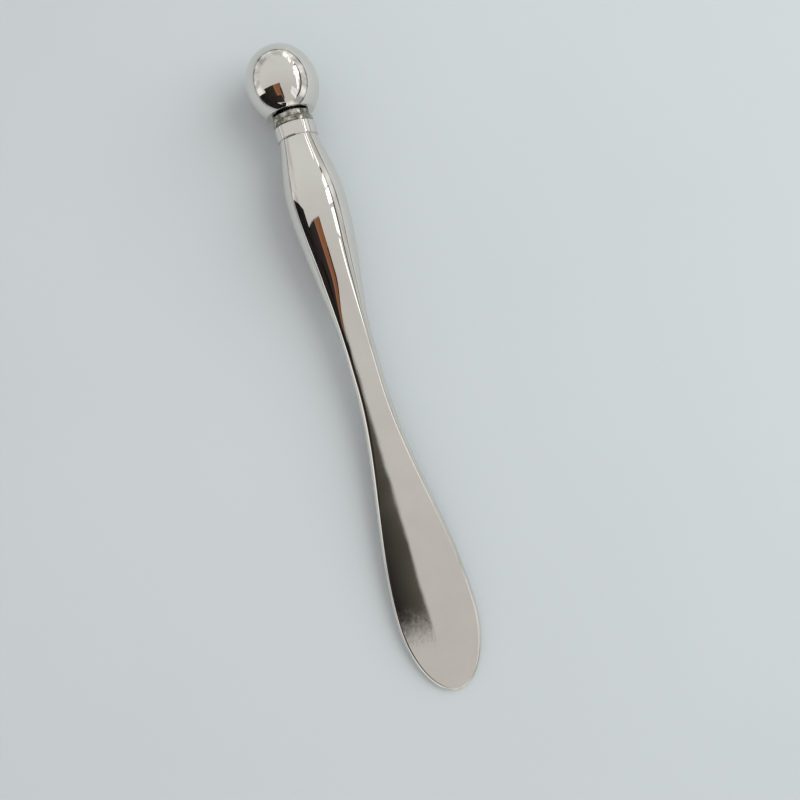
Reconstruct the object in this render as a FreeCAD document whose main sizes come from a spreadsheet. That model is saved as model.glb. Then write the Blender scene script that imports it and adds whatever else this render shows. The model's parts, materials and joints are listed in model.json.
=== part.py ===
import FreeCAD, Part
import math
import os
from FreeCAD import Placement, Rotation, Vector
from Sketcher import Constraint
from types import SimpleNamespace

# A double-ended spatula in plated zinc alloy: a spinning egg-shaped ball at one end, a round
# grip, and a flat leaf-shaped blade at the other end.
#
# Every piece is modelled about the tool's own axis: X runs along the tool from the centre of
# the ball to the tip of the blade, and Z points up through the flat face of the blade.  The
# last step tips the tool so that it lies on its ball and on the underside of its blade, with
# the origin on the floor under the middle of its length.

SIZES = {
    # ball
    "ball_diameter": 11.3,
    "ball_nose_length": 6.1,
    "ball_neck_length": 4.6,
    "ball_neck_round": 0.25,
    "ball_end_ratio": 0.975,
    # spindle and its snap ring
    "pin_diameter": 2.0,
    "pin_chamfer": 0.2,
    "pin_depth_in_ball": 4.0,
    "pin_depth_in_grip": 6.5,
    "pin_running_clearance": 0.03,
    "bore_end_clearance": 0.4,
    "ring_from_pin_end": 1.0,
    "ring_bite": 0.2,
    "ring_wall": 0.45,
    "ring_width": 0.45,
    "ring_clearance": 0.03,
    "ring_gap_angle": 40.0,
    # thrust washer and collar
    "ball_end_play": 0.2,
    "washer_thickness": 1.8,
    "washer_diameter": 6.3,
    "washer_rim_ease": 0.25,
    "washer_boss_length": 0.85,
    "washer_boss_diameter": 5.7,
    "collar_diameter": 6.6,
    "collar_length": 2.05,
    "collar_chamfer": 0.12,
    # grip and waist
    "grip_root_diameter": 6.1,
    "grip_root_slope": 0.19,
    "grip_diameter": 9.5,
    "grip_rise_length": 10.15,
    "grip_fall_length": 23.2,
    "waist_width": 5.2,
    "waist_length": 6.0,
    "waist_top_height": 1.55,
    "waist_under_height": 1.8,
    # blade
    "flare_length": 38.0,
    "blade_width": 13.2,
    "tip_length": 13.4,
    "tip_thickness": 1.0,
    "sole_blend_length": 8.0,
    "shaft_edge_round": 1.15,
    "blade_edge_round": 0.65,
    # how high the fattest part of the grip hangs over the floor
    "grip_floor_clearance": 0.11,
}

# Sections along each stretch of the blade, and strips round each of its rounded edges.
FALL_SECTIONS = 10
FALL_STEPS = range(FALL_SECTIONS + 1)
FLARE_SECTIONS = 14
FLARE_STEPS = range(FLARE_SECTIONS + 1)
TIP_SECTIONS = 9
EDGE_STRIPS = 5
# How far beside a section the direction of its rails is taken.
BESIDE = 1e-4
# How fast the sliver of flat widens along the crown, where the blade's face begins.
CROWN_SLOPE = 0.01
# Where, along the rise of the grip, its turned surface is divided.
RISE_SPLIT = 0.35
# Where, along the fall of the grip, the round section starts to turn into the flat one.
FLATTEN_START = 0.3
FACE_START = 0.5

doc = FreeCAD.newDocument("spatula")
sheet = doc.addObject("Spreadsheet::Sheet", "Sizes")
for row, (alias, number) in enumerate(SIZES.items(), start=1):
    sheet.set("A%d" % row, alias)
    sheet.set("B%d" % row, str(number))
    sheet.setAlias("B%d" % row, alias)
doc.recompute()


class Measure:
    """A length worked out from the sheet, together with the expression that gives it."""

    def __init__(self, number, text):
        self.number = number
        self.text = text

    def __add__(self, other):
        return Measure(self.number + other.number, "(%s + %s)" % (self.text, other.text))

    def __sub__(self, other):
        return Measure(self.number - other.number, "(%s - %s)" % (self.text, other.text))

    def __mul__(self, factor):
        return Measure(self.number * factor, "%s * %s" % (self.text, factor))


size = SimpleNamespace(
    **{alias: Measure(float(getattr(sheet, alias)), "Sizes." + alias) for alias in SIZES}
)

# Places along the axis, measured from the ball's centre, shared by every piece.
AXIS = Measure(0.0, "0")
WASHER_START = size.ball_neck_length + size.ball_end_play
COLLAR_START = WASHER_START + size.washer_thickness
GRIP_START = COLLAR_START + size.collar_length
PEAK = GRIP_START + size.grip_rise_length
WAIST_START = PEAK + size.grip_fall_length
WAIST_END = WAIST_START + size.waist_length
WIDEST = WAIST_END + size.flare_length
TIP = WIDEST + size.tip_length
PIN_START = size.ball_neck_length - size.pin_depth_in_ball
PIN_END = COLLAR_START + size.pin_depth_in_grip
RING_END = PIN_END - size.ring_from_pin_end
RING_START = RING_END - size.ring_width
BORE_END = PIN_END + size.bore_end_clearance

# Radii shared by the pieces that turn in one another.
BALL_RADIUS = size.ball_diameter * 0.5
GRIP_RADIUS = size.grip_diameter * 0.5
PIN_RADIUS = size.pin_diameter * 0.5
BORE_RADIUS = PIN_RADIUS + size.pin_running_clearance
GROOVE_RADIUS = PIN_RADIUS - size.ring_bite
RING_INNER = GROOVE_RADIUS + size.ring_clearance
RING_OUTER = RING_INNER + size.ring_wall

# The egg's side view: round ends, set in from its length, joined by a flatter flank.
HALF_BALL = BALL_RADIUS.number
END_RADIUS = HALF_BALL * size.ball_end_ratio.number
END_INSET = size.ball_nose_length.number - END_RADIUS
FLANK_RADIUS = (HALF_BALL**2 + END_INSET**2 - END_RADIUS**2) / (2 * (HALF_BALL - END_RADIUS))

# Angle between the tool's axis and the floor: the ball carries one end of the tool, and the
# fattest part of the grip hangs just clear.
GRIP_DROP = BALL_RADIUS - GRIP_RADIUS - size.grip_floor_clearance
TILT = math.atan(GRIP_DROP.number / PEAK.number)
# How far the tilted egg reaches below and beyond its own centre.
UNDERSIDE = FLANK_RADIUS - (FLANK_RADIUS - HALF_BALL) * math.cos(TILT)
NOSE_REACH = END_INSET * math.cos(TILT) + END_RADIUS


def resting_place():
    """The placement that lays the tool on the floor, over the middle of its length."""
    tip_reach = TIP.number * math.cos(TILT)
    base = Vector((NOSE_REACH - tip_reach) / 2, 0, UNDERSIDE)
    return Placement(base, Rotation(Vector(0, 1, 0), math.degrees(TILT)))


# ---------------------------------------------------------------------------------------
# Turned pieces


def turned_body(label, corners):
    """A body turned about the axis from a closed profile of (place, radius) corners."""
    body = doc.addObject("PartDesign::Body", label)
    body.Label = label
    sketch = body.newObject("Sketcher::SketchObject", label + "_profile")
    planes = {item.Role: item for item in body.Origin.OriginFeatures}
    sketch.AttachmentSupport = (planes["XZ_Plane"], [""])
    sketch.MapMode = "FlatFace"
    points = [Vector(place.number, radius.number, 0) for place, radius in corners]
    following = points[1:] + points[:1]
    for start, end in zip(points, following):
        sketch.addGeometry(Part.LineSegment(start, end), False)
    for index in range(len(points)):
        after = (index + 1) % len(points)
        sketch.addConstraint(Constraint("Coincident", index, 2, after, 1))
    for index, (place, radius) in enumerate(corners):
        across = Constraint("DistanceX", -1, 1, index, 1, place.number)
        number = sketch.addConstraint(across)
        sketch.setExpression("Constraints[%d]" % number, place.text)
        if radius is AXIS:
            sketch.addConstraint(Constraint("PointOnObject", index, 1, -1))
            continue
        up = Constraint("DistanceY", -1, 1, index, 1, radius.number)
        number = sketch.addConstraint(up)
        sketch.setExpression("Constraints[%d]" % number, radius.text)
    turn = body.newObject("PartDesign::Revolution", label + "_turn")
    turn.Profile = sketch
    turn.ReferenceAxis = (sketch, ["H_Axis"])
    turn.Angle = 360
    sketch.Visibility = False
    return body


def spindle_pin():
    """The pin pressed into the ball, with the groove that its snap ring sits in."""
    return turned_body(
        "spindle_pin",
        [
            (PIN_START, AXIS),
            (PIN_START, PIN_RADIUS - size.pin_chamfer),
            (PIN_START + size.pin_chamfer, PIN_RADIUS),
            (RING_START - size.ring_clearance, PIN_RADIUS),
            (RING_START - size.ring_clearance, GROOVE_RADIUS),
            (RING_END + size.ring_clearance, GROOVE_RADIUS),
            (RING_END + size.ring_clearance, PIN_RADIUS),
            (PIN_END - size.pin_chamfer, PIN_RADIUS),
            (PIN_END, PIN_RADIUS - size.pin_chamfer),
            (PIN_END, AXIS),
        ],
    )


def snap_ring():
    """The split ring that keeps the spindle in the grip."""
    ring = turned_body(
        "snap_ring",
        [
            (RING_START, RING_INNER),
            (RING_START, RING_OUTER),
            (RING_END, RING_OUTER),
            (RING_END, RING_INNER),
        ],
    )
    turn = ring.Group[-1]
    turn.setExpression("Angle", "360 - " + size.ring_gap_angle.text)
    return ring


def thrust_washer():
    """The washer between the ball and the collar: a narrow boss, then an eased bead."""
    rim = size.washer_diameter * 0.5
    boss = size.washer_boss_diameter * 0.5
    shoulder = WASHER_START + size.washer_boss_length
    return turned_body(
        "thrust_washer",
        [
            (WASHER_START, BORE_RADIUS),
            (WASHER_START, boss),
            (shoulder, boss),
            (shoulder, rim - size.washer_rim_ease),
            (shoulder + size.washer_rim_ease, rim),
            (COLLAR_START - size.washer_rim_ease, rim),
            (COLLAR_START, rim - size.washer_rim_ease),
            (COLLAR_START, BORE_RADIUS),
        ],
    )


def collar():
    """The plain band at the root of the grip."""
    rim = size.collar_diameter * 0.5
    return turned_body(
        "collar",
        [
            (COLLAR_START, AXIS),
            (COLLAR_START, rim - size.collar_chamfer),
            (COLLAR_START + size.collar_chamfer, rim),
            (GRIP_START - size.collar_chamfer, rim),
            (GRIP_START, rim - size.collar_chamfer),
            (GRIP_START, AXIS),
        ],
    )


def axial_cylinder(name, start, end, radius):
    """A plain cylinder along the tool's axis, bound to the sheet."""
    tool = doc.addObject("Part::Cylinder", name)
    tool.Placement = Placement(Vector(start.number, 0, 0), Rotation(Vector(0, 1, 0), 90))
    tool.setExpression("Placement.Base.x", start.text)
    tool.setExpression("Height", (end - start).text)
    tool.setExpression("Radius", radius.text)
    return tool


def boolean(kind, label, base, tool):
    """The cut, fusion or common part of two objects."""
    result = doc.addObject(kind, label)
    result.Base = base
    result.Tool = tool
    result.Label = label
    return result


def turned_shape(label, edges):
    """A solid turned about the axis from edges that close a profile, in the XY plane."""
    profile = doc.addObject("Part::Feature", label + "_profile")
    profile.Shape = Part.Face(Part.Wire(edges))
    turn = doc.addObject("Part::Revolution", label)
    turn.Source = profile
    turn.Axis = Vector(1, 0, 0)
    turn.Base = Vector(0, 0, 0)
    turn.Angle = 360
    turn.Solid = True
    return turn


def arc_edge(centre, start, end):
    """The shorter arc from start to end round the centre."""
    radius = (start - centre).Length
    middle = centre + ((start + end) / 2 - centre).normalize() * radius
    return Part.Arc(start, middle, end).toShape()


def egg_edges():
    """The egg's profile from nose to neck: round ends joined by a flatter flank."""
    nose = Vector(-size.ball_nose_length.number, 0, 0)
    crown = Vector(0, HALF_BALL, 0)
    nose_centre = Vector(-END_INSET, 0, 0)
    neck_centre = Vector(END_INSET, 0, 0)
    flank_centre = Vector(0, HALF_BALL - FLANK_RADIUS, 0)
    nose_join = nose_centre + (nose_centre - flank_centre).normalize() * END_RADIUS
    neck_join = neck_centre + (neck_centre - flank_centre).normalize() * END_RADIUS
    # the neck's edge is rounded by an arc that touches the egg and the flat of the neck
    neck = size.ball_neck_length.number
    small = size.ball_neck_round.number
    across = neck - small - END_INSET
    round_centre = Vector(neck - small, math.sqrt((END_RADIUS - small) ** 2 - across**2), 0)
    touch = neck_centre + (round_centre - neck_centre).normalize() * END_RADIUS
    flat_edge = Vector(neck, round_centre.y, 0)
    neck_middle = Vector(neck, 0, 0)
    return [
        arc_edge(nose_centre, nose, nose_join),
        arc_edge(flank_centre, nose_join, crown),
        arc_edge(flank_centre, crown, neck_join),
        arc_edge(neck_centre, neck_join, touch),
        arc_edge(round_centre, touch, flat_edge),
        Part.LineSegment(flat_edge, neck_middle).toShape(),
        Part.LineSegment(neck_middle, nose).toShape(),
    ]


def massage_ball():
    """The egg, cut off square at its neck and bored for the spindle."""
    egg = turned_shape("egg", egg_edges())
    seat = axial_cylinder("pin_seat", PIN_START, size.ball_neck_length * 2, PIN_RADIUS)
    return boolean("Part::Cut", "massage_ball", egg, seat)


# ---------------------------------------------------------------------------------------
# The casting: a turned grip, then a blade skinned over rails that follow its outline


def ease(place, start, end):
    """A smooth step from 0 at start to 1 at end."""
    share = min(max((place - start) / (end - start), 0.0), 1.0)
    return share * share * (3 - 2 * share)


def mix(first, second, share):
    return first + (second - first) * share


class Casting:
    """The outline, side profile and edge rounding of the casting at any section."""

    def __init__(self):
        self.root = GRIP_START.number
        self.peak = PEAK.number
        self.waist_start = WAIST_START.number
        self.waist_end = WAIST_END.number
        self.widest = WIDEST.number
        self.tip = TIP.number
        self.flatten_start = mix(self.peak, self.waist_start, FLATTEN_START)

    def fall_curve(self):
        """Side of the turned grip from its fattest part down to the waist."""
        third = (self.waist_start - self.peak) / 3
        grip = size.grip_diameter.number / 2
        waist = size.waist_width.number / 2
        curve = Part.BezierCurve()
        curve.setPoles(
            [
                Vector(self.peak, grip, 0),
                Vector(self.peak + third, grip, 0),
                Vector(self.waist_start - third, waist, 0),
                Vector(self.waist_start, waist, 0),
            ]
        )
        return curve

    def rise_curve(self):
        """Side of the turned grip from the collar to its fattest part."""
        third = (self.peak - self.root) / 3
        root = size.grip_root_diameter.number / 2
        grip = size.grip_diameter.number / 2
        curve = Part.BezierCurve()
        curve.setPoles(
            [
                Vector(self.root, root, 0),
                Vector(self.root + third, root + third * size.grip_root_slope.number, 0),
                Vector(self.peak - third, grip, 0),
                Vector(self.peak, grip, 0),
            ]
        )
        return curve

    def half_width(self, place):
        """Half the width in plan, from where the grip flattens to the widest part."""
        grip = size.grip_diameter.number / 2
        waist = size.waist_width.number / 2
        if place <= self.waist_end:
            return mix(grip, waist, ease(place, self.peak, self.waist_start))
        blade = size.blade_width.number / 2
        return mix(waist, blade, ease(place, self.waist_end, self.widest))

    def floor(self, place):
        """Height of the floor under the tilted axis."""
        return (place * math.sin(TILT) - UNDERSIDE) / math.cos(TILT)

    def sole(self, place):
        """The underside from waist to tip: a straight run, bent flat onto the floor."""
        low = -size.waist_under_height.number
        blend = size.sole_blend_length.number
        middle = self.widest - blend / 2
        slope = (self.floor(middle) - low) / (middle - self.waist_end)
        turn = math.tan(TILT) - slope
        start = self.widest - blend
        into = min(max(place - start, 0.0), blend)
        past = max(place - self.widest, 0.0)
        return low + slope * (place - self.waist_end) + turn * (into * into / (2 * blend) + past)

    def face(self, place):
        """The flat upper face of waist and blade."""
        high = size.waist_top_height.number
        tip_top = self.floor(self.tip) + size.tip_thickness.number
        share = (place - self.waist_end) / (self.tip - self.waist_end)
        return mix(high, tip_top, share)

    def top(self, place):
        share = ease(place, self.flatten_start, self.waist_start)
        return mix(self.half_width(min(place, self.waist_start)), self.face(place), share)

    def bottom(self, place):
        share = ease(place, self.flatten_start, self.waist_start)
        return mix(-self.half_width(min(place, self.waist_start)), self.sole(place), share)

    def edge_round(self, place):
        """How far in from the outline the rounded edge reaches."""
        shaft = size.shaft_edge_round.number
        blade = size.blade_edge_round.number
        thin = mix(shaft, blade, ease(place, self.waist_end, self.widest))
        if place >= self.waist_start:
            return thin
        crown = CROWN_SLOPE * (place - self.flatten_start)
        full = self.half_width(place) - crown
        start = mix(self.peak, self.waist_start, FACE_START)
        return mix(full, thin, ease(place, start, self.waist_start))

    def section(self, point, outward):
        """The five rail points of one section, from the sole up round the edge to the face."""
        inner = point - outward * self.edge_round(point.x)
        low = self.bottom(point.x)
        high = self.top(point.x)
        return [
            Vector(inner.x, inner.y, self.bottom(inner.x)),
            Vector(point.x, point.y, low),
            Vector(point.x, point.y, (low + high) / 2),
            Vector(point.x, point.y, high),
            Vector(inner.x, inner.y, self.top(inner.x)),
        ]

    def side_sections(self, start, end, steps):
        """Sections square to the axis, and their places."""
        places = [mix(start, end, step / steps[-1]) for step in steps]
        sideways = Vector(0, 1, 0)
        sections = [
            self.section(Vector(place, self.half_width(place), 0), sideways) for place in places
        ]
        return places, sections

    def tip_sections(self):
        """Sections square to the half ellipse of the tip, and their places along it."""
        reach = self.tip - self.widest
        half = size.blade_width.number / 2
        places = [0.0]
        sections = []
        previous = Vector(self.widest, half, 0)
        for index in range(TIP_SECTIONS + 1):
            angle = math.pi / 2 * index / TIP_SECTIONS
            point = Vector(self.widest + reach * math.sin(angle), half * math.cos(angle), 0)
            outward = Vector(half * math.sin(angle), reach * math.cos(angle), 0).normalize()
            if index > 0:
                places.append(places[-1] + (point - previous).Length)
            previous = point
            sections.append(self.section(point, outward))
        return places, sections

    def slopes(self, place, near):
        """Directions of the five rails at a place square to the axis, on its near side."""
        sideways = Vector(0, 1, 0)
        beside = place + near
        here = self.section(Vector(place, self.half_width(place), 0), sideways)
        there = self.section(Vector(beside, self.half_width(beside), 0), sideways)
        return [(second - first) / near for first, second in zip(here, there)]


def side_rails(form, start, end, steps):
    """Five smooth curves through the sections of one straight stretch."""
    places, sections = form.side_sections(start, end, steps)
    directions = zip(form.slopes(start, BESIDE), form.slopes(end, -BESIDE))
    rails = []
    for index, (first, last) in enumerate(directions):
        curve = Part.BSplineCurve()
        curve.interpolate(
            Points=[section[index] for section in sections],
            Parameters=places,
            InitialTangent=first,
            FinalTangent=last,
        )
        rails.append(curve)
    return rails


def tip_rails(form):
    """Five curves from the widest part to the tip, smooth with their own mirror images."""
    places, sections = form.tip_sections()
    back = [2 * places[-1] - place for place in reversed(places[:-1])]
    rails = []
    for index, slope in enumerate(form.slopes(form.widest, BESIDE)):
        points = [section[index] for section in sections]
        mirrored = [Vector(point.x, -point.y, point.z) for point in reversed(points[:-1])]
        curve = Part.BSplineCurve()
        curve.interpolate(
            Points=points + mirrored,
            Parameters=places + back,
            InitialTangent=slope,
            FinalTangent=Vector(-slope.x, slope.y, -slope.z),
        )
        curve.segment(places[0], places[-1])
        rails.append(curve)
    return rails


def skin(rails, weights):
    """The surface stretched across neighbouring rails."""
    rows = [curve.getPoles() for curve in rails]
    grid = [list(column) for column in zip(*rows)]
    surface = Part.BSplineSurface()
    surface.buildFromPolesMultsKnots(
        grid,
        rails[0].getMultiplicities(),
        [len(rails), len(rails)],
        rails[0].getKnots(),
        [0.0, 1.0],
        False,
        False,
        rails[0].Degree,
        len(rails) - 1,
        [list(weights) for _ in grid],
    )
    return surface


def rounded_edge(rails):
    """A quarter-round edge over three rails, in strips side by side."""
    surface = skin(rails, (1.0, math.sqrt(0.5), 1.0))
    start, end, _, _ = surface.bounds()
    strips = []
    for index in range(EDGE_STRIPS):
        strip = surface.copy()
        strip.segment(start, end, index / EDGE_STRIPS, (index + 1) / EDGE_STRIPS)
        strips.append(strip.toShape())
    return strips


def mirrored_rail(curve):
    other = curve.copy()
    for index, pole in enumerate(curve.getPoles(), start=1):
        other.setPole(index, Vector(pole.x, -pole.y, pole.z))
    return other


def flat_face(curves):
    """The plane face inside the inner rails of one side and their mirror images."""
    edges = [curve.toShape() for curve in curves]
    edges += [mirrored_rail(curve).toShape() for curve in curves]
    first = curves[0].getPole(1)
    edges.append(Part.LineSegment(first, Vector(first.x, -first.y, first.z)).toShape())
    return Part.Face(Part.Wire(Part.sortEdges(edges)[0]))


def blade_blank():
    """The blade with its waist, from where the grip flattens to the tip, as one solid."""
    form = Casting()
    fall = side_rails(form, form.flatten_start, form.waist_start, FALL_STEPS)
    flare = side_rails(form, form.waist_start, form.widest, FLARE_STEPS)
    tip = tip_rails(form)
    faces = []
    for rails in (fall, flare, tip):
        others = [mirrored_rail(curve) for curve in rails]
        for side in (rails, others):
            faces += rounded_edge(side[0:3])
            faces += rounded_edge(side[2:5])
    for rails in (fall, flare):
        under = [rails[0], mirrored_rail(rails[0])]
        faces.append(skin(under, (1.0, 1.0)).toShape())
    faces.append(skin([fall[4], mirrored_rail(fall[4])], (1.0, 1.0)).toShape())
    faces.append(flat_face([flare[4], tip[4]]))
    faces.append(flat_face([tip[0]]))
    centre = Vector(form.flatten_start, 0, 0)
    rim = Part.makeCircle(form.half_width(form.flatten_start), centre, Vector(1, 0, 0))
    faces.append(Part.Face(Part.Wire(rim)))
    shell = Part.makeShell(faces)
    shell.sewShape()
    solid = Part.Solid(shell)
    blank = doc.addObject("Part::Feature", "blade_blank")
    blank.Shape = solid
    return blank


def turned_grip():
    """The grip turned from the collar's back face to where its section starts to flatten."""
    form = Casting()
    rise = form.rise_curve()
    fall = form.fall_curve()
    fall.segment(0.0, FLATTEN_START)
    root_axis = Vector(form.root, 0, 0)
    end_axis = Vector(form.flatten_start, 0, 0)
    early = rise.copy()
    early.segment(0.0, RISE_SPLIT)
    late = rise.copy()
    late.segment(RISE_SPLIT, 1.0)
    return turned_shape(
        "grip",
        [
            Part.LineSegment(root_axis, rise.getPole(1)).toShape(),
            early.toShape(),
            late.toShape(),
            fall.toShape(),
            Part.LineSegment(fall.getPole(4), end_axis).toShape(),
            Part.LineSegment(end_axis, root_axis).toShape(),
        ],
    )


def spatula_body(band, grip, blade):
    """The casting with its collar, bored blind for the spindle and recessed for its ring."""
    handle = boolean("Part::Fuse", "handle", band, grip)
    fused = boolean("Part::Fuse", "fused_casting", handle, blade)
    bore = axial_cylinder("spindle_bore", COLLAR_START, BORE_END, BORE_RADIUS)
    recess = axial_cylinder(
        "ring_recess",
        RING_START - size.ring_clearance,
        RING_END + size.ring_clearance,
        RING_OUTER + size.ring_clearance,
    )
    tool = boolean("Part::Fuse", "bore_tool", bore, recess)
    return boolean("Part::Cut", "spatula_body", fused, tool)


def check_document():
    """Stop if any object of the document failed to build."""
    for item in doc.Objects:
        if "Invalid" in item.State or "Error" in item.State:
            raise RuntimeError("%s did not build: %s" % (item.Label, item.State))


def export(pieces):
    """Lay every piece on the floor and write it to a STEP file of its own."""
    place = resting_place()
    for piece in pieces:
        piece.Placement = place
    doc.recompute()
    check_document()
    for piece in pieces:
        shape = piece.Shape
        if shape.isNull() or not shape.isValid() or not shape.Solids:
            raise RuntimeError("%s is not a sound solid" % piece.Label)
    os.makedirs("parts", exist_ok=True)
    for piece in pieces:
        piece.Shape.exportStep(os.path.join("parts", piece.Label + ".step"))
        print(piece.Label, round(piece.Shape.Volume, 2), piece.Shape.BoundBox)


nodes = [
    spatula_body(collar(), turned_grip(), blade_blank()),
    massage_ball(),
    spindle_pin(),
    thrust_washer(),
    snap_ring(),
]
doc.recompute()
check_document()
export(nodes)
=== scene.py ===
import json
import math

import bpy
import numpy as np
from mathutils import Matrix, Vector

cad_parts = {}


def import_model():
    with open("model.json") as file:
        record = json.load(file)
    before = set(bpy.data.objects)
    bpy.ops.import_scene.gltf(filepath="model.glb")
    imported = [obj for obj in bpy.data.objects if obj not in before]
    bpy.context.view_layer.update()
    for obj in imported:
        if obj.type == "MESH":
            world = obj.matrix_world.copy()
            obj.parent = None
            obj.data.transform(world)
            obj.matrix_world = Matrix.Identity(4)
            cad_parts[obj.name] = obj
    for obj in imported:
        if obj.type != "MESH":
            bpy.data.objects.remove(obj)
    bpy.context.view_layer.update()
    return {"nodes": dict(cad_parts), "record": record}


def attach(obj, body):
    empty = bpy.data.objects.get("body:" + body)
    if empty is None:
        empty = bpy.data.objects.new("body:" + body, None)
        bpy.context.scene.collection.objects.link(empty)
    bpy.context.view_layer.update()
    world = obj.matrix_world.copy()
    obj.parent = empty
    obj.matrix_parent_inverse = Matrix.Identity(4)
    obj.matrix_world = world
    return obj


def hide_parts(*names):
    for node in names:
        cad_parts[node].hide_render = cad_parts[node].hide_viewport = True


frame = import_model()

MM = 0.001
# Below these a length in millimetres, or that of a cross product, counts as nothing.
NO_LENGTH, NO_NORMAL = 1e-6, 1e-12

# Sizes of the tool in millimetres, as places along its own axis from the ball's centre, and
# radii or half sizes across it.
NOSE_REACH, BALL_RADIUS, BALL_NECK, NECK_ROUND = 6.1, 5.65, 4.6, 0.25
BALL_END_RADIUS = BALL_RADIUS * 0.975
PIN_START, PIN_RADIUS, BORE_RADIUS, BORE_END = 0.6, 1.0, 1.03, 13.5
RECESS_START, RECESS_END, RECESS_RADIUS = 11.62, 12.13, 1.31
WASHER_START, BOSS_RADIUS, SHOULDER, WASHER_RADIUS, WASHER_ROUND = 4.8, 2.85, 5.65, 3.15, 0.25
COLLAR_START, COLLAR_RADIUS, COLLAR_ROUND = 6.6, 3.3, 0.12
GRIP_START, PEAK, FLATTEN_START, FACE_START = 8.65, 18.8, 25.76, 30.4
WAIST_START, WAIST_END, BEND_START, WIDEST, TIP = 42.0, 48.0, 78.0, 86.0, 99.4
ROOT_RADIUS, ROOT_SLOPE, GRIP_RADIUS = 3.05, 0.19, 4.75
WAIST_HALF, BLADE_HALF = 2.6, 6.6
WAIST_TOP, WAIST_UNDER, TIP_THICKNESS = 1.55, 1.8, 1.0
SHAFT_ROUND, BLADE_ROUND, CROWN_SLOPE = 1.15, 0.65, 0.01
# The shown surfaces lie this far inside the CAD solids, so that they never leave its box.
INSET = 0.012

# How many pieces the smooth curves are cut into.
TURN_STEPS, NOSE_STEPS, FLANK_STEPS, NECK_STEPS, RIM_STEPS = 224, 46, 40, 20, 8
SHAFT_STEPS, BLADE_STEPS, TIP_STEPS, EDGE_STEPS = 110, 90, 90, 18

hinge = frame["record"]["behaviour"]["joints"][0]
ball_centre = Vector(hinge["pos_m"])
along = Vector(hinge["axis"]).normalized()
tilt = math.atan2(-along.z, along.x)
underside = ball_centre.z / MM
# Turns the tool's own axis, along X, to its lean in the room.
LEAN = np.array(
    [
        [math.cos(tilt), 0, math.sin(tilt)],
        [0, 1, 0],
        [-math.sin(tilt), 0, math.cos(tilt)],
    ]
)


def place_in_scene(name, data):
    """A new object of the scene with this mesh, lamp or camera."""
    holder = bpy.data.objects.new(name, data)
    bpy.context.scene.collection.objects.link(holder)
    return holder


def smooth_mesh(name, points, faces):
    """A smooth-shaded mesh from points in metres."""
    mesh = bpy.data.meshes.new(name)
    mesh.from_pydata(points, [], faces)
    mesh.polygons.foreach_set("use_smooth", [True] * len(mesh.polygons))
    return mesh


def build(name, points, normals, faces):
    """A smooth piece from points and normals about the tool's own axis, in millimetres."""
    normals = normals / np.linalg.norm(normals, axis=1)[:, None]
    laid = (points - normals * INSET) @ LEAN.T * MM + np.array(ball_centre)
    mesh = smooth_mesh(name, laid.tolist(), faces)
    mesh.normals_split_custom_set_from_vertices((normals @ LEAN.T).tolist())
    return place_in_scene(name, mesh)


# ---------------------------------------------------------------------------------------
# Turned pieces. A profile point is its place, its radius, and its normal along and across.


def arc(centre, radius, start, end, count):
    """Profile points on an arc, with angles in degrees from the nose up."""
    made = []
    for index in range(count + 1):
        angle = math.radians(start + (end - start) * index / count)
        out = (-math.cos(angle), math.sin(angle))
        made.append((centre[0] + radius * out[0], centre[1] + radius * out[1], *out))
    return made


def lathe(name, profile, closed=False):
    """The surface turned about the axis from a profile, closed into a ring or not."""
    angles = np.linspace(0, 2 * math.pi, TURN_STEPS, endpoint=False)
    points, normals, faces, rings = [], [], [], []
    for place, radius, out_x, out_r in profile:
        # A place on the axis has one point for its whole ring.
        count = 1 if radius < NO_LENGTH else TURN_STEPS
        rings.append((len(points), count))
        for angle in angles[:count]:
            points.append((place, radius * math.cos(angle), radius * math.sin(angle)))
            normals.append((out_x, out_r * math.cos(angle), out_r * math.sin(angle)))
    following = rings[1:] + rings[:1] if closed else rings[1:]
    for (first, first_count), (second, second_count) in zip(rings, following):
        for index in range(TURN_STEPS):
            after = (index + 1) % TURN_STEPS
            near = first + np.array([index, after]) % first_count
            far = second + np.array([after, index]) % second_count
            faces.append(list(dict.fromkeys([*near.tolist(), *far.tolist()])))
    return build(name, np.array(points), np.array(normals), faces)


def egg_profile():
    """The ball from its nose to its neck, and the hole that the pin is pressed into."""
    # One end arc at the nose and one at the neck, and a flatter flank arc that touches both.
    inset = NOSE_REACH - BALL_END_RADIUS
    end = BALL_END_RADIUS
    flank = (BALL_RADIUS**2 + inset**2 - end**2) / (2 * (BALL_RADIUS - end))
    flank_centre = (0, BALL_RADIUS - flank)
    join = math.degrees(math.atan2(flank - BALL_RADIUS, inset))
    # The neck's rounding touches the second end arc at this bearing.
    across = BALL_NECK - NECK_ROUND - inset
    high = math.sqrt((end - NECK_ROUND) ** 2 - across**2)
    touch = 180 - math.degrees(math.atan2(high, across))
    profile = arc((-inset, 0), end, 0, join, NOSE_STEPS)
    profile += arc(flank_centre, flank, join, 180 - join, FLANK_STEPS)[1:]
    profile += arc((inset, 0), end, 180 - join, touch, NECK_STEPS)[1:]
    profile += arc((BALL_NECK - NECK_ROUND, high), NECK_ROUND, touch, 180, RIM_STEPS)[1:]
    hole = [(BALL_NECK, PIN_RADIUS, 1, 0), (BALL_NECK, PIN_RADIUS, 0, -1)]
    hole += [(PIN_START, PIN_RADIUS, 0, -1), (PIN_START, PIN_RADIUS, 1, 0), (PIN_START, 0, 1, 0)]
    return profile + hole


def tube(name, profile):
    """A turned ring with the wall of the pin's bore through it."""
    front, back = profile[0][0], profile[-1][0]
    wall = [(back, BORE_RADIUS, 1, 0), (back, BORE_RADIUS, 0, -1), (front, BORE_RADIUS, 0, -1)]
    return lathe(name, profile + wall, closed=True)


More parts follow.
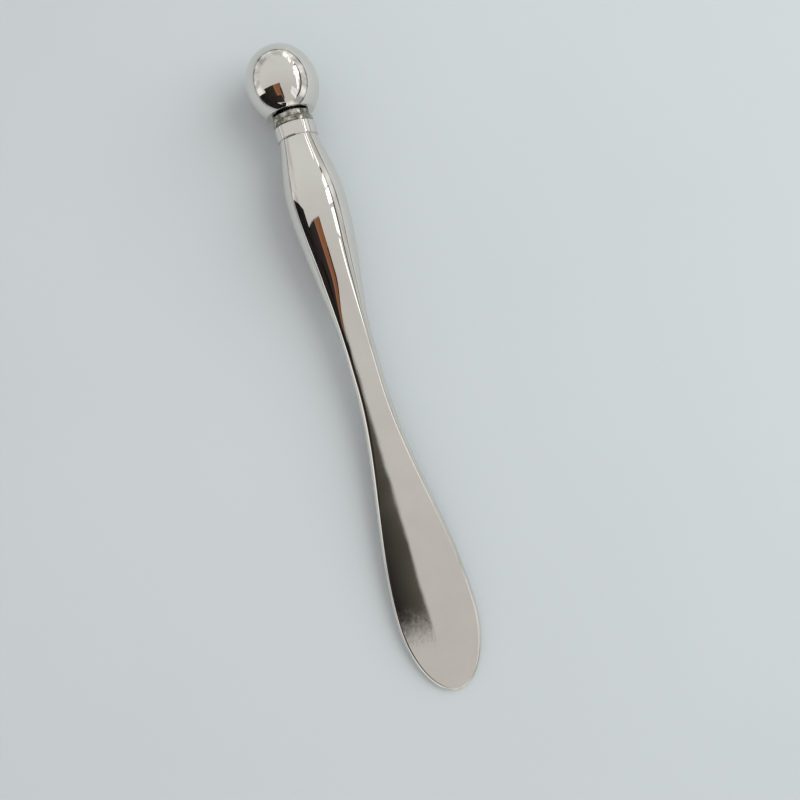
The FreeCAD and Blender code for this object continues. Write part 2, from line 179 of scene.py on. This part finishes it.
def band_profile(start, end, radius, corner, inner):
    """A plain ring with rounded rims, from its front face at an inner radius to its back."""
    rim = radius - corner
    front = [(start, inner, -1, 0)] + arc((start + corner, rim), corner, 0, 90, RIM_STEPS)
    return front + arc((end - corner, rim), corner, 90, 180, RIM_STEPS)


def washer_profile():
    """The washer's narrow boss, then its bead."""
    boss = [(WASHER_START, BORE_RADIUS, -1, 0), (WASHER_START, BOSS_RADIUS, -1, 0)]
    boss += [(WASHER_START, BOSS_RADIUS, 0, 1), (SHOULDER, BOSS_RADIUS, 0, 1)]
    return boss + band_profile(SHOULDER, COLLAR_START, WASHER_RADIUS, WASHER_ROUND, BOSS_RADIUS)


# ---------------------------------------------------------------------------------------
# The casting


def ease(place, start, end):
    """A smooth step from 0 at start to 1 at end."""
    share = min(max((place - start) / (end - start), 0.0), 1.0)
    return share * share * (3 - 2 * share)


def mix(first, second, share):
    """From first at share 0 to second at share 1."""
    return first + (second - first) * share


def half_width(place):
    """The outline seen from above, as far as the blade's widest place."""
    if place <= PEAK:
        rise = PEAK - GRIP_START
        share = (place - GRIP_START) / rise
        # The ease alone would start level, and this gives the root its slope.
        pull = share * (1 - share) ** 2 * rise * ROOT_SLOPE
        return mix(ROOT_RADIUS, GRIP_RADIUS, ease(place, GRIP_START, PEAK)) + pull
    if place <= WAIST_END:
        return mix(GRIP_RADIUS, WAIST_HALF, ease(place, PEAK, WAIST_START))
    return mix(WAIST_HALF, BLADE_HALF, ease(place, WAIST_END, WIDEST))


def floor_height(place):
    """The height of the table, in the leaning tool's own frame."""
    return (place * math.sin(tilt) - underside) / math.cos(tilt)


def sole(place):
    """The underside of waist and blade: straight down to the table, then bent to lie on it."""
    middle = (BEND_START + WIDEST) / 2
    slope = (floor_height(middle) + WAIST_UNDER) / (middle - WAIST_END)
    turn = math.tan(tilt) - slope
    bend = WIDEST - BEND_START
    into = min(max(place - BEND_START, 0.0), bend)
    bent = turn * (into * into / (2 * bend) + max(place - WIDEST, 0.0))
    return -WAIST_UNDER + slope * (place - WAIST_END) + bent


def face(place):
    """The flat mirror face on top of waist and blade."""
    high = floor_height(TIP) + TIP_THICKNESS
    return mix(WAIST_TOP, high, (place - WAIST_END) / (TIP - WAIST_END))


def top(place):
    """The height of a section's top: the grip's own radius, then the flat face."""
    share = ease(place, FLATTEN_START, WAIST_START)
    return mix(half_width(min(place, WAIST_START)), face(place), share)


def bottom(place):
    """The height of a section's bottom: as far down as the top is up, then the sole."""
    share = ease(place, FLATTEN_START, WAIST_START)
    return mix(-half_width(min(place, WAIST_START)), sole(place), share)


def edge_reach(place):
    """How far in from the outline the rounding of the edge starts."""
    thin = mix(SHAFT_ROUND, BLADE_ROUND, ease(place, WAIST_END, WIDEST))
    if place >= WAIST_START:
        return thin
    full = half_width(place) - CROWN_SLOPE * max(place - FLATTEN_START, 0.0)
    return mix(full, thin, ease(place, FACE_START, WAIST_START))


def half_ring(point, outward):
    """Points up one side of a section, from the sole round the edge to the flat face,
    and the direction of the section's curve at each of them."""
    inner = point - outward * edge_reach(point[0])
    low, high = bottom(point[0]), top(point[0])
    rail = [
        np.array([inner[0], inner[1], bottom(inner[0])]),
        np.array([point[0], point[1], low]),
        np.array([point[0], point[1], (low + high) / 2]),
        np.array([point[0], point[1], high]),
        np.array([inner[0], inner[1], top(inner[0])]),
    ]
    # Two quarter ellipses, each from a start to an end, round off the corners between them.
    ring, ways = [], []
    for start, corner, end in (rail[0:3], rail[2:5]):
        for index in range(EDGE_STEPS + 1):
            angle = math.pi / 2 * index / EDGE_STEPS
            middle = start + end - corner
            near, far = start - middle, end - middle
            ring.append(middle + near * math.cos(angle) + far * math.sin(angle))
            ways.append(far * math.cos(angle) - near * math.sin(angle))
    del ring[EDGE_STEPS], ways[EDGE_STEPS]
    return ring, ways


def stations():
    """Outline points of the casting with their outward directions, from root to tip."""
    made = []
    for start, end, count in (
        (GRIP_START, WAIST_START, SHAFT_STEPS),
        (WAIST_START, WIDEST, BLADE_STEPS),
    ):
        for index in range(count):
            place = mix(start, end, index / count)
            made.append((np.array([place, half_width(place)]), np.array([0.0, 1.0])))
    reach = TIP - WIDEST
    for index in range(TIP_STEPS + 1):
        angle = math.pi / 2 * index / TIP_STEPS
        point = np.array([WIDEST + reach * math.sin(angle), BLADE_HALF * math.cos(angle)])
        outward = np.array([BLADE_HALF * math.sin(angle), reach * math.cos(angle)])
        made.append((point, outward / np.linalg.norm(outward)))
    return made


def blind_bore(rim, rim_points, first):
    """The casting's flat end inside the collar, and the bore for the pin and its ring: new
    points, numbered from first, their normals, and the faces that lead inward from the rim."""
    profile = (
        (GRIP_START, BORE_RADIUS, -1),
        (RECESS_START, BORE_RADIUS, 1),
        (RECESS_START, RECESS_RADIUS, 1),
        (RECESS_END, RECESS_RADIUS, -1),
        (RECESS_END, BORE_RADIUS, -1),
        (BORE_END, BORE_RADIUS, -1),
    )
    count = len(rim)
    ways = rim_points[:, 1:] / np.linalg.norm(rim_points[:, 1:], axis=1)[:, None]
    points, normals, faces = [], [], []
    for place, radius, out_x in profile:
        inner = list(range(first + len(points) * count, first + (len(points) + 1) * count))
        points.append(np.column_stack([np.full(count, place), radius * ways]))
        normals.append(np.column_stack([np.full(count, out_x), -ways]))
        for index in range(count):
            after = (index + 1) % count
            faces.append([rim[index], rim[after], inner[after], inner[index]])
        rim = inner
    faces.append(rim)
    return np.vstack(points), np.vstack(normals), faces


def half_skin():
    """The points and unit normals of the casting's right side, from section to section."""
    outline = stations()
    pairs = [half_ring(point, outward) for point, outward in outline]
    half = np.array([ring for ring, _ in pairs])
    crosswise = np.array([ways for _, ways in pairs])
    rows, columns, _ = half.shape
    steps = np.diff(np.array([point for point, _ in outline]), axis=0)
    places = np.concatenate([[0.0], np.cumsum(np.linalg.norm(steps, axis=1))])
    lengthwise = np.gradient(half, places, axis=0, edge_order=2)
    normals = np.cross(lengthwise, crosswise)
    facing_out = normals[:, columns // 2, 1] > 0
    normals[~facing_out] *= -1
    sizes = np.linalg.norm(normals, axis=2)
    # Points that border the flat face, and the sole where it lies on the table, take its normal.
    face_normal = np.array([-(face(TIP) - face(WAIST_END)) / (TIP - WAIST_END), 0, 1])
    for row in range(rows):
        place = half[row, columns // 2, 0]
        if place >= WAIST_START:
            normals[row, -1] = face_normal
        if place >= WIDEST:
            normals[row, 0] = (math.tan(tilt), 0, -1)
    normals[sizes < NO_NORMAL] = (1, 0, 0)
    normals /= np.linalg.norm(normals, axis=2)[:, :, None]
    # The last section lies in the middle plane and goes round the tip, from sole to face.
    for column, angle in enumerate(np.radians(np.linspace(-90, 90, columns))):
        if 0 < column < columns - 1:
            normals[-1, column] = (math.cos(angle), 0, math.sin(angle))
    return half, normals


def casting():
    """Grip, waist and blade in one smooth skin, mirrored from its right side."""
    half, half_normals = half_skin()
    rows, columns, _ = half.shape
    points = half.reshape(-1, 3)
    normals = half_normals.reshape(-1, 3)
    # Both sides share the points in the middle plane, and the left side mirrors all others.
    on_middle = points[:, 1] < NO_LENGTH
    others = np.flatnonzero(~on_middle)
    mirrored = np.arange(len(points))
    mirrored[others] = len(points) + np.arange(len(others))
    normals[on_middle, 1] = 0
    flipped = np.array([1.0, -1.0, 1.0])
    points = np.vstack([points, points[others] * flipped])
    normals = np.vstack([normals, normals[others] * flipped])
    right = np.arange(rows * columns).reshape(rows, columns)
    left = mirrored.reshape(rows, columns)
    faces = []

    def add(*corners):
        """Keeps a face if it has three corners or more that differ."""
        kept = list(dict.fromkeys(int(corner) for corner in corners))
        if len(kept) > 2:
            faces.append(kept)

    for row in range(rows - 1):
        for column in range(columns - 1):
            here, there = right[row], right[row + 1]
            add(here[column], here[column + 1], there[column + 1], there[column])
            here, there = left[row], left[row + 1]
            add(here[column + 1], here[column], there[column], there[column + 1])
        add(right[row, -1], left[row, -1], left[row + 1, -1], right[row + 1, -1])
        add(left[row, 0], right[row, 0], right[row + 1, 0], left[row + 1, 0])
    rim = [*left[0, 1:-1].tolist(), *right[0, ::-1].tolist()]
    bore_points, bore_normals, bore_faces = blind_bore(rim, points[rim], len(points))
    points = np.vstack([points, bore_points])
    normals = np.vstack([normals, bore_normals])
    return build("casting", points, normals, faces + bore_faces)


body = casting()
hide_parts("spatula_body")
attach(body, "handle")

band = band_profile(COLLAR_START, GRIP_START, COLLAR_RADIUS, COLLAR_ROUND, BORE_RADIUS)
collar = tube("collar", band)
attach(collar, "handle")

washer = tube("washer", washer_profile())
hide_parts("thrust_washer")
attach(washer, "handle")

ball = lathe("ball", egg_profile())
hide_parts("massage_ball")
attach(ball, "ball")


# ---------------------------------------------------------------------------------------
# Materials. On surfaces a noise scale of 1000 makes patches of about 1 mm, and bump
# distances are in metres.

# Where a Mix node of colours has its share, its two colours and its result.
MIX_SHARE, MIX_FIRST, MIX_SECOND, MIX_RESULT = 0, 6, 7, 2

PLATE_LIGHT, PLATE_DARK = (0.765, 0.74, 0.70), (0.728, 0.704, 0.664)
BALL_LIGHT, BALL_DARK = (0.774, 0.749, 0.708), (0.736, 0.713, 0.673)
WASHER_LIGHT, WASHER_OLIVE = (0.62, 0.61, 0.565), (0.16, 0.155, 0.115)
STEEL_COLOURS = {
    "spindle_pin": ((0.56, 0.56, 0.57), (0.48, 0.48, 0.49)),
    "snap_ring": ((0.42, 0.42, 0.44), (0.34, 0.34, 0.36)),
}


class Nodes:
    """Short calls for building a node tree whose textures follow one set of coordinates."""

    def __init__(self, tree, coordinates):
        self.tree = tree
        self.place = self.add("ShaderNodeTexCoord").outputs[coordinates]

    def add(self, kind, **settings):
        node = self.tree.nodes.new(kind)
        for key, value in settings.items():
            setattr(node, key, value)
        return node

    def link(self, source, target):
        self.tree.links.new(source, target)

    def feed(self, socket, value):
        """Sets a socket to a number or a colour, or links another node's output to it."""
        if isinstance(value, tuple):
            socket.default_value = (*value, 1)
        elif isinstance(value, (int, float)):
            socket.default_value = value
        else:
            self.link(value, socket)

    def split(self):
        """The coordinates' X, Y and Z."""
        node = self.add("ShaderNodeSeparateXYZ")
        self.link(self.place, node.inputs["Vector"])
        return node.outputs

    def noise(self, scale, detail=3.0, rough=0.5, stretch=(1, 1, 1), turn=0.0):
        """Patches, packed closer along the axes with a larger stretch."""
        mapping = self.add("ShaderNodeMapping")
        mapping.inputs["Scale"].default_value = stretch
        mapping.inputs["Rotation"].default_value = (0, 0, turn)
        self.link(self.place, mapping.inputs["Vector"])
        noise = self.add("ShaderNodeTexNoise")
        noise.inputs["Scale"].default_value = scale
        noise.inputs["Detail"].default_value = detail
        noise.inputs["Roughness"].default_value = rough
        self.link(mapping.outputs["Vector"], noise.inputs["Vector"])
        return noise.outputs["Fac"]

    def ramp(self, source, low, high, start=0.0, end=1.0):
        """From start where the source is low to end where it is high."""
        node = self.add("ShaderNodeMapRange")
        node.inputs["From Min"].default_value = low
        node.inputs["From Max"].default_value = high
        node.inputs["To Min"].default_value = start
        node.inputs["To Max"].default_value = end
        self.link(source, node.inputs["Value"])
        return node.outputs["Result"]

    def span(self, source, low, high, soft):
        """One between low and high, nothing outside, with soft ends."""
        rise = self.ramp(source, low - soft, low + soft)
        return self.maths("MULTIPLY", rise, self.ramp(source, high + soft, high - soft))

    def colours(self, source, stops):
        """A run of colours, each at its value of the source."""
        node = self.add("ShaderNodeValToRGB")
        elements = node.color_ramp.elements
        while len(elements) < len(stops):
            elements.new(0.5)
        for element, (position, colour) in zip(elements, stops):
            element.position, element.color = position, (*colour, 1)
        self.link(source, node.inputs["Fac"])
        return node.outputs["Color"]

    def maths(self, operation, first, second):
        node = self.add("ShaderNodeMath", operation=operation)
        for socket, value in zip(node.inputs, (first, second)):
            self.feed(socket, value)
        return node.outputs["Value"]

    def blend(self, share, first, second):
        """The first colour where the share is 0, the second where it is 1."""
        node = self.add("ShaderNodeMix", data_type="RGBA")
        self.feed(node.inputs[MIX_FIRST], first)
        self.feed(node.inputs[MIX_SECOND], second)
        self.link(share, node.inputs[MIX_SHARE])
        return node.outputs[MIX_RESULT]

    def bump(self, height, distance, under=None):
        """Bumps of this height, on top of the bumps under them."""
        node = self.add("ShaderNodeBump")
        node.inputs["Strength"].default_value = 1.0
        node.inputs["Distance"].default_value = distance
        self.link(height, node.inputs["Height"])
        if under is not None:
            self.link(under, node.inputs["Normal"])
        return node.outputs["Normal"]


class Shader(Nodes):
    """A new material, with its surface shader at hand."""

    def __init__(self, name):
        self.material = bpy.data.materials.new(name)
        self.material.use_nodes = True
        super().__init__(self.material.node_tree, "Object")
        self.surface = self.tree.nodes["Principled BSDF"]

    def give(self, socket, value):
        """Sets or links one socket of the surface."""
        self.feed(self.surface.inputs[socket], value)


def plated(name, light, dark):
    """Nickel-chrome plate with slow waves from polishing, fine wiping marks and faint haze."""
    shader = Shader(name)
    haze = shader.noise(scale=160, detail=4.0, rough=0.55)
    fine = shader.noise(scale=5200, detail=2.0, rough=0.6)
    marks = shader.noise(scale=900, detail=2.0, rough=0.6, stretch=(1, 14, 14), turn=0.12)
    cross = shader.noise(scale=700, detail=2.0, rough=0.6, stretch=(16, 1, 9), turn=-0.3)
    waves = shader.noise(scale=210, detail=1.0, rough=0.3)
    tint = shader.ramp(haze, 0.35, 0.65)
    wiped = shader.ramp(shader.maths("MAXIMUM", marks, cross), 0.6, 0.78)
    cloudy = shader.ramp(haze, 0.3, 0.7, start=0.012, end=0.04)
    lapped = shader.bump(waves, distance=4e-6)
    scratched = shader.bump(shader.maths("ADD", marks, cross), distance=1.6e-7, under=lapped)
    shader.give("Metallic", 1.0)
    shader.give("Base Color", shader.blend(tint, dark, light))
    shader.give("Roughness", shader.maths("ADD", cloudy, shader.maths("MULTIPLY", wiped, 0.03)))
    shader.give("Normal", shader.bump(fine, distance=4e-8, under=scratched))
    return shader.material


def worn(name):
    """Thin plate on the washer, rubbed through to dull olive metal in patches."""
    shader = Shader(name)
    patches = shader.ramp(shader.noise(scale=900, detail=4.0, rough=0.65), 0.41, 0.62)
    rings = shader.noise(scale=700, rough=0.6, stretch=(20, 1, 1))
    rubbed = shader.bump(rings, distance=1.2e-6)
    shader.give("Metallic", 1.0)
    shader.give("Base Color", shader.blend(patches, WASHER_OLIVE, WASHER_LIGHT))
    shader.give("Roughness", shader.ramp(patches, 0, 1, start=0.3, end=0.09))
    shader.give("Normal", shader.bump(patches, distance=6e-6, under=rubbed))
    return shader.material


def turned_steel(name, light, dark):
    """Ground steel with fine turning rings round the tool's axis."""
    shader = Shader(name)
    rings = shader.noise(scale=600, rough=0.6, stretch=(30, 1, 1))
    haze = shader.ramp(shader.noise(scale=500), 0.3, 0.7)
    shader.give("Metallic", 1.0)
    shader.give("Base Color", shader.blend(haze, dark, light))
    shader.give("Roughness", shader.ramp(rings, 0.3, 0.7, start=0.2, end=0.38))
    shader.give("Normal", shader.bump(rings, distance=1.5e-6))
    return shader.material


casting_plate = plated("plated_casting", PLATE_LIGHT, PLATE_DARK)
body.data.materials.append(casting_plate)
collar.data.materials.append(casting_plate)
ball.data.materials.append(plated("plated_ball", BALL_LIGHT, BALL_DARK))
washer.data.materials.append(worn("plated_washer"))
for node, (light, dark) in STEEL_COLOURS.items():
    holder = frame["nodes"][node]
    steel = turned_steel(node + "_steel", light, dark)
    if not holder.material_slots:
        holder.data.materials.append(steel)
    for slot in holder.material_slots:
        slot.material = steel


# ---------------------------------------------------------------------------------------
# Studio: a pale table, a pale wall for the camera, a room with panes, cards, a screen and a
# tab for the mirrors, and one large soft lamp.

# The camera's place, and which way is right and up in its picture.
LENS = Vector((5.23, 3.91, 129.45)) * MM
RIGHT = Vector((0.2788, 0.9603, 0)).normalized()
UP = Vector((-0.9603, 0.2788, 0)).normalized()
FOCAL_LENGTH, SENSOR_WIDTH = 36.0, 36.0
NEAREST_SEEN, FARTHEST_SEEN = 0.001, 20

# The table, and the wall round it that bends up from its foot, in metres.
PALE_LOW, PALE_HIGH = (0.566, 0.594, 0.614), (0.587, 0.615, 0.634)
TABLE_HALF, TABLE_LEVEL = 3.0, -0.00003
WALL_RADIUS, WALL_BEND, WALL_HEIGHT, WALL_SINK = 1.5, 0.4, 3.0, 0.001
WALL_STEPS, BEND_STEPS = 96, 16

# The lamp's level way from the tool, its distance that way, its height and its side, in metres.
LAMP_WAY = (RIGHT * 0.9 + UP * 0.4).normalized()
LAMP_DISTANCE, LAMP_HEIGHT, LAMP_SIDE = 0.42, 0.33, 0.52
LAMP_WATTS, LAMP_SPREAD, LAMP_COLOUR = 1.04, math.radians(115), (0.94, 1.0, 1.0)

# The room. The ceiling's colours go with how far east a direction points, those of walls and
# skirting with the clutter's noise. Heights are the Z of a direction, and bearings are in
# radians. A span is its low and high end and their softness.
CEILING_WEST, CEILING_EAST = -0.45, 0.45
CEILING = ((0.0, (0.726, 0.742, 0.723)), (1.0, (0.634, 0.615, 0.593)))
WALLS = (
    (0.36, (0.44, 0.44, 0.43)),
    (0.46, (0.62, 0.62, 0.6)),
    (0.54, (0.77, 0.77, 0.75)),
    (0.64, (1.05, 1.05, 1.02)),
)
SKIRTING = ((0.4, (0.06, 0.06, 0.06)), (0.6, (0.42, 0.42, 0.42)))
ALL, NOTHING = (1, 1, 1), (0, 0, 0)
WALLS_BELOW = ((0.34, ALL), (0.5, NOTHING))
SKIRTING_BELOW = ((0.03, ALL), (0.09, NOTHING))
SILL_BEARINGS, SILL_HEIGHTS = (0.6, 2.4, 0.05), (0.385, 0.455, 0.005)
SILL_COLOUR = (0.05, 0.05, 0.045)

# Window panes in metres: west and east ends, sill and head.
PANE_DISTANCE = 0.95
PANE_WARM, PANE_COOL = (1.0, 0.98, 0.94), (0.9, 0.95, 1.0)
SMALL_PANES = (
    (-2.3, -1.5, 0.5, 1.0),
    (-1.4, -0.95, 0.5, 0.9),
    (-0.9, -0.72, 0.5, 0.62),
    (-0.62, -0.4, 0.5, 0.86),
    (-0.37, -0.18, 0.5, 0.92),
    (-0.14, 0.03, 0.56, 0.82),
    (0.06, 0.34, 0.66, 0.82),
    (0.38, 0.56, 0.68, 0.79),
)
TALL_PANES = ((0.6, 0.98, 0.7, 1.6), (1.02, 1.6, 0.75, 1.9))

# The screen round the ball, in millimetres. Its heads are bearings in degrees and the height
# of its upper edge at each.
SCREEN_RADIUS, SCREEN_FOOT = 45, 12
SCREEN_HEADS = ((-82, 12), (-73, 39), (-20, 27), (-5, 24))
SCREEN_STEPS = 77
SCREEN_DARK, SCREEN_LIGHT = (0.008, 0.008, 0.010), (0.026, 0.022, 0.020)

# The tab's outline and level, in millimetres.
TAB_LEVEL, TAB_SHADE = 30, (0.022, 0.02, 0.018)
TAB = ((-3, -2.3), (6, -2.7), (14, -4.1), (22, -6.0), (36, -9.0), (36, -14), (-5, -14))

# The cards' colours, near at the north end of their fade and far at its south end.
FLAG_NEAR, FLAG_FAR = (0.12, 0.11, 0.09), (0.02, 0.02, 0.02)
BROWN_NEAR, BROWN_FAR = (0.25, 0.115, 0.062), (0.39, 0.17, 0.09)
DARK_NEAR, DARK_FAR = (0.05, 0.035, 0.03), (0.02, 0.018, 0.018)


def mirror_only(name, corners, faces, material):
    """A staged sheet that shows in mirrors and nowhere else."""
    mesh = bpy.data.meshes.new(name)
    mesh.from_pydata(corners, [], faces)
    mesh.materials.append(material)
    sheet = place_in_scene(name, mesh)
    sheet.visible_camera = False
    sheet.visible_diffuse = False
    sheet.visible_shadow = False


def glow(name):
    """A shader that only gives light of its own."""
    shader = Shader(name)
    shader.give("Base Color", (0, 0, 0))
    shader.give("Specular IOR Level", 0)
    shader.give("Emission Strength", 1.0)
    return shader


def card(name, height, across_x, across_y, fade, near, far, soft, tail=0.0):
    """A level sheet that only mirrors can see, in millimetres, with soft rims and a tail at
    its east end that thins out in grains. Its colour fades from far to near going north."""
    shader = glow(name)
    place = shader.split()
    wobble = soft * MM / 2
    shake = shader.ramp(shader.noise(scale=60, detail=2.0), 0.3, 0.7, -wobble, wobble)
    specks = shader.noise(scale=2600, rough=0.7)
    grain = shader.ramp(specks, 0.35, 0.65, -tail * MM, tail * MM)
    cover = None
    for axis, (low, high) in (("X", across_x), ("Y", across_y)):
        moved = shader.maths("ADD", place[axis], shake)
        rise = shader.ramp(moved, (low - soft) * MM, (low + soft) * MM)
        end = tail if axis == "X" else 0.0
        if end:
            moved = shader.maths("ADD", moved, grain)
        fall = shader.ramp(moved, (high + soft + end) * MM, (high - soft - end) * MM)
        inside = shader.maths("MULTIPLY", rise, fall)
        cover = inside if cover is None else shader.maths("MULTIPLY", cover, inside)
    share = shader.ramp(place["Y"], fade[0] * MM, fade[1] * MM)
    shader.give("Alpha", cover)
    shader.give("Emission Color", shader.blend(share, far, near))
    shader.give("Emission Strength", shader.ramp(shader.noise(scale=60), 0.3, 0.7, 0.75, 1.0))
    margin = 2 * (soft + tail)
    west, east = (across_x[0] - margin) * MM, (across_x[1] + margin) * MM
    south, north = (across_y[0] - margin) * MM, (across_y[1] + margin) * MM
    level = height * MM
    corners = [(west, south, level), (east, south, level), (east, north, level)]
    corners.append((west, north, level))
    mirror_only(name, corners, [[0, 1, 2, 3]], shader.material)


def screen():
    """A low dark screen bent round the ball, for its mirrored dark quarter."""
    bearings, heads = zip(*SCREEN_HEADS)
    points, faces = [], []
    for bearing in np.linspace(bearings[0], bearings[-1], SCREEN_STEPS + 1):
        head = float(np.interp(bearing, bearings, heads))
        turn = math.radians(bearing)
        way = Vector((math.cos(turn), math.sin(turn), 0))
        place = ball_centre + way * SCREEN_RADIUS * MM
        points += [(place.x, place.y, SCREEN_FOOT * MM), (place.x, place.y, head * MM)]
    for index in range(0, 2 * SCREEN_STEPS, 2):
        faces.append([index, index + 2, index + 3, index + 1])
    shader = glow("screen")
    cloth = shader.ramp(shader.noise(scale=150), 0.35, 0.65)
    shader.give("Emission Color", shader.blend(cloth, SCREEN_DARK, SCREEN_LIGHT))
    mirror_only("screen", points, faces, shader.material)


def tab():
    """A small dark sheet low over the tool, which hides the brown panel from the waist's edge."""
    shader = glow("tab")
    shader.give("Emission Color", TAB_SHADE)
    points = [(x * MM, y * MM, TAB_LEVEL * MM) for x, y in TAB]
    mirror_only("tab", points, [list(range(len(points)))], shader.material)


def floor():
    """The table, a hair below the tool's lowest points."""
    mesh = bpy.data.meshes.new("floor")
    signs = ((-1, -1), (1, -1), (1, 1), (-1, 1))
    corners = [(TABLE_HALF * x, TABLE_HALF * y, TABLE_LEVEL) for x, y in signs]
    mesh.from_pydata(corners, [], [[0, 1, 2, 3]])
    sheet = place_in_scene("floor", mesh)
    shader = Shader("pale_table")
    cloud = shader.ramp(shader.noise(scale=9), 0.35, 0.65)
    shader.give("Specular IOR Level", 0.12)
    shader.give("Base Color", shader.blend(cloud, PALE_LOW, PALE_HIGH))
    shader.give("Roughness", shader.ramp(shader.noise(scale=120), 0.3, 0.7, start=0.5, end=0.6))
    shader.give("Normal", shader.bump(shader.noise(scale=2600), distance=8e-6))
    mesh.materials.append(shader.material)


def backdrop():
    """The floor's sweep up into a pale wall all round, which only the camera sees."""
    foot = WALL_RADIUS - WALL_BEND
    profile = []
    for index in range(BEND_STEPS + 1):
        angle = math.pi / 2 * index / BEND_STEPS
        rise = WALL_BEND * (1 - math.cos(angle))
        profile.append((foot + WALL_BEND * math.sin(angle), rise - WALL_SINK))
    profile.append((WALL_RADIUS, WALL_HEIGHT))
    points, faces = [], []
    for radius, height in profile:
        for index in range(WALL_STEPS):
            angle = 2 * math.pi * index / WALL_STEPS
            points.append((radius * math.cos(angle), radius * math.sin(angle), height))
    for row in range(len(profile) - 1):
        for index in range(WALL_STEPS):
            after = (index + 1) % WALL_STEPS
            near, far = row * WALL_STEPS, (row + 1) * WALL_STEPS
            faces.append([near + index, near + after, far + after, far + index])
    mesh = smooth_mesh("backdrop", points, faces)
    sheet = place_in_scene("backdrop", mesh)
    shader = Shader("pale_wall")
    cloud = shader.ramp(shader.noise(scale=3, detail=2.0), 0.35, 0.65)
    paint = shader.blend(cloud, PALE_LOW, PALE_HIGH)
    shader.give("Specular IOR Level", 0.2)
    shader.give("Roughness", 0.7)
    shader.give("Base Color", paint)
    shader.give("Emission Color", paint)
    shader.give("Emission Strength", 0.08)
    mesh.materials.append(shader.material)
    sheet.visible_glossy = False
    sheet.visible_diffuse = False
    sheet.visible_shadow = False


def world():
    """A room: mottled walls with a dark sill under the panes and a dim skirting, below a
    ceiling that grows warmer and darker to the east."""
    made = bpy.data.worlds.new("studio")
    made.use_nodes = True
    nodes = Nodes(made.node_tree, "Generated")
    way = nodes.split()
    height = way["Z"]
    clutter = nodes.noise(scale=3.4, detail=2.0, stretch=(1, 1, 0.3))
    ceiling = nodes.colours(nodes.ramp(way["X"], CEILING_WEST, CEILING_EAST), CEILING)
    walls = nodes.colours(clutter, WALLS)
    room = nodes.blend(nodes.colours(height, WALLS_BELOW), ceiling, walls)
    bearing = nodes.maths("ARCTAN2", way["Y"], way["X"])
    across = nodes.span(bearing, *SILL_BEARINGS)
    sill = nodes.maths("MULTIPLY", across, nodes.span(height, *SILL_HEIGHTS))
    room = nodes.blend(sill, room, SILL_COLOUR)
    skirting = nodes.colours(clutter, SKIRTING)
    room = nodes.blend(nodes.colours(height, SKIRTING_BELOW), room, skirting)
    background = nodes.tree.nodes["Background"]
    nodes.link(room, background.inputs["Color"])
    bpy.context.scene.world = made


def panes(name, outlines, dim, bright):
    """A row of window panes, which only mirrors see; the lamp stands for their light."""
    shader = glow(name)
    cloudy = shader.ramp(shader.noise(scale=2.2), 0.35, 0.65)
    light = shader.noise(scale=1.7, detail=2.0)
    shader.give("Emission Color", shader.blend(cloudy, PANE_WARM, PANE_COOL))
    shader.give("Emission Strength", shader.ramp(light, 0.38, 0.62, dim, bright))
    corners, faces = [], []
    for west, east, low, high in outlines:
        base = len(corners)
        for x, z in ((west, low), (east, low), (east, high), (west, high)):
            corners.append((x, PANE_DISTANCE, z))
        faces.append([base, base + 1, base + 2, base + 3])
    mirror_only(name, corners, faces, shader.material)


def lamp():
    """The large soft lamp, which mirrors don't see."""
    data = bpy.data.lights.new("window", "AREA")
    data.shape = "RECTANGLE"
    data.size, data.size_y = LAMP_SIDE, LAMP_SIDE
    data.energy = LAMP_WATTS
    data.color = LAMP_COLOUR
    data.spread = LAMP_SPREAD
    holder = place_in_scene("window", data)
    holder.location = LAMP_WAY * LAMP_DISTANCE + Vector((0, 0, LAMP_HEIGHT))
    holder.rotation_euler = (-holder.location).to_track_quat("-Z", "Y").to_euler()
    holder.visible_glossy = False


def camera():
    """The camera looks straight down from the lens."""
    data = bpy.data.cameras.new("camera")
    data.lens = FOCAL_LENGTH
    data.sensor_width = SENSOR_WIDTH
    data.clip_start = NEAREST_SEEN
    data.clip_end = FARTHEST_SEEN
    holder = place_in_scene("camera", data)
    turn = Matrix((RIGHT, UP, Vector((0, 0, 1)))).transposed().to_4x4()
    holder.matrix_world = Matrix.Translation(LENS) @ turn
    bpy.context.scene.camera = holder


floor()
backdrop()
world()
camera()
panes("panes", SMALL_PANES, dim=0.95, bright=2.6)
panes("tall_panes", TALL_PANES, dim=1.0, bright=1.35)
screen()
card(
    "flag", height=129, across_x=(1, 101), across_y=(-18, -6.5), fade=(-16, -6.5),
    near=FLAG_NEAR, far=FLAG_FAR, soft=0.5, tail=5,
)
card(
    "panel", height=129.5, across_x=(-29, 46), across_y=(-62, -8), fade=(-60, -12),
    near=BROWN_NEAR, far=BROWN_FAR, soft=1,
)
card(
    "panel_side", height=129.6, across_x=(-29, 46), across_y=(-200, -60), fade=(-200, -60),
    near=DARK_NEAR, far=DARK_FAR, soft=1,
)
card(
    "panel_far", height=129.7, across_x=(42, 165), across_y=(-170, -19), fade=(-170, -19),
    near=DARK_NEAR, far=DARK_FAR, soft=3,
)
tab()
lamp()

bpy.context.scene.view_settings.view_transform = "Standard"
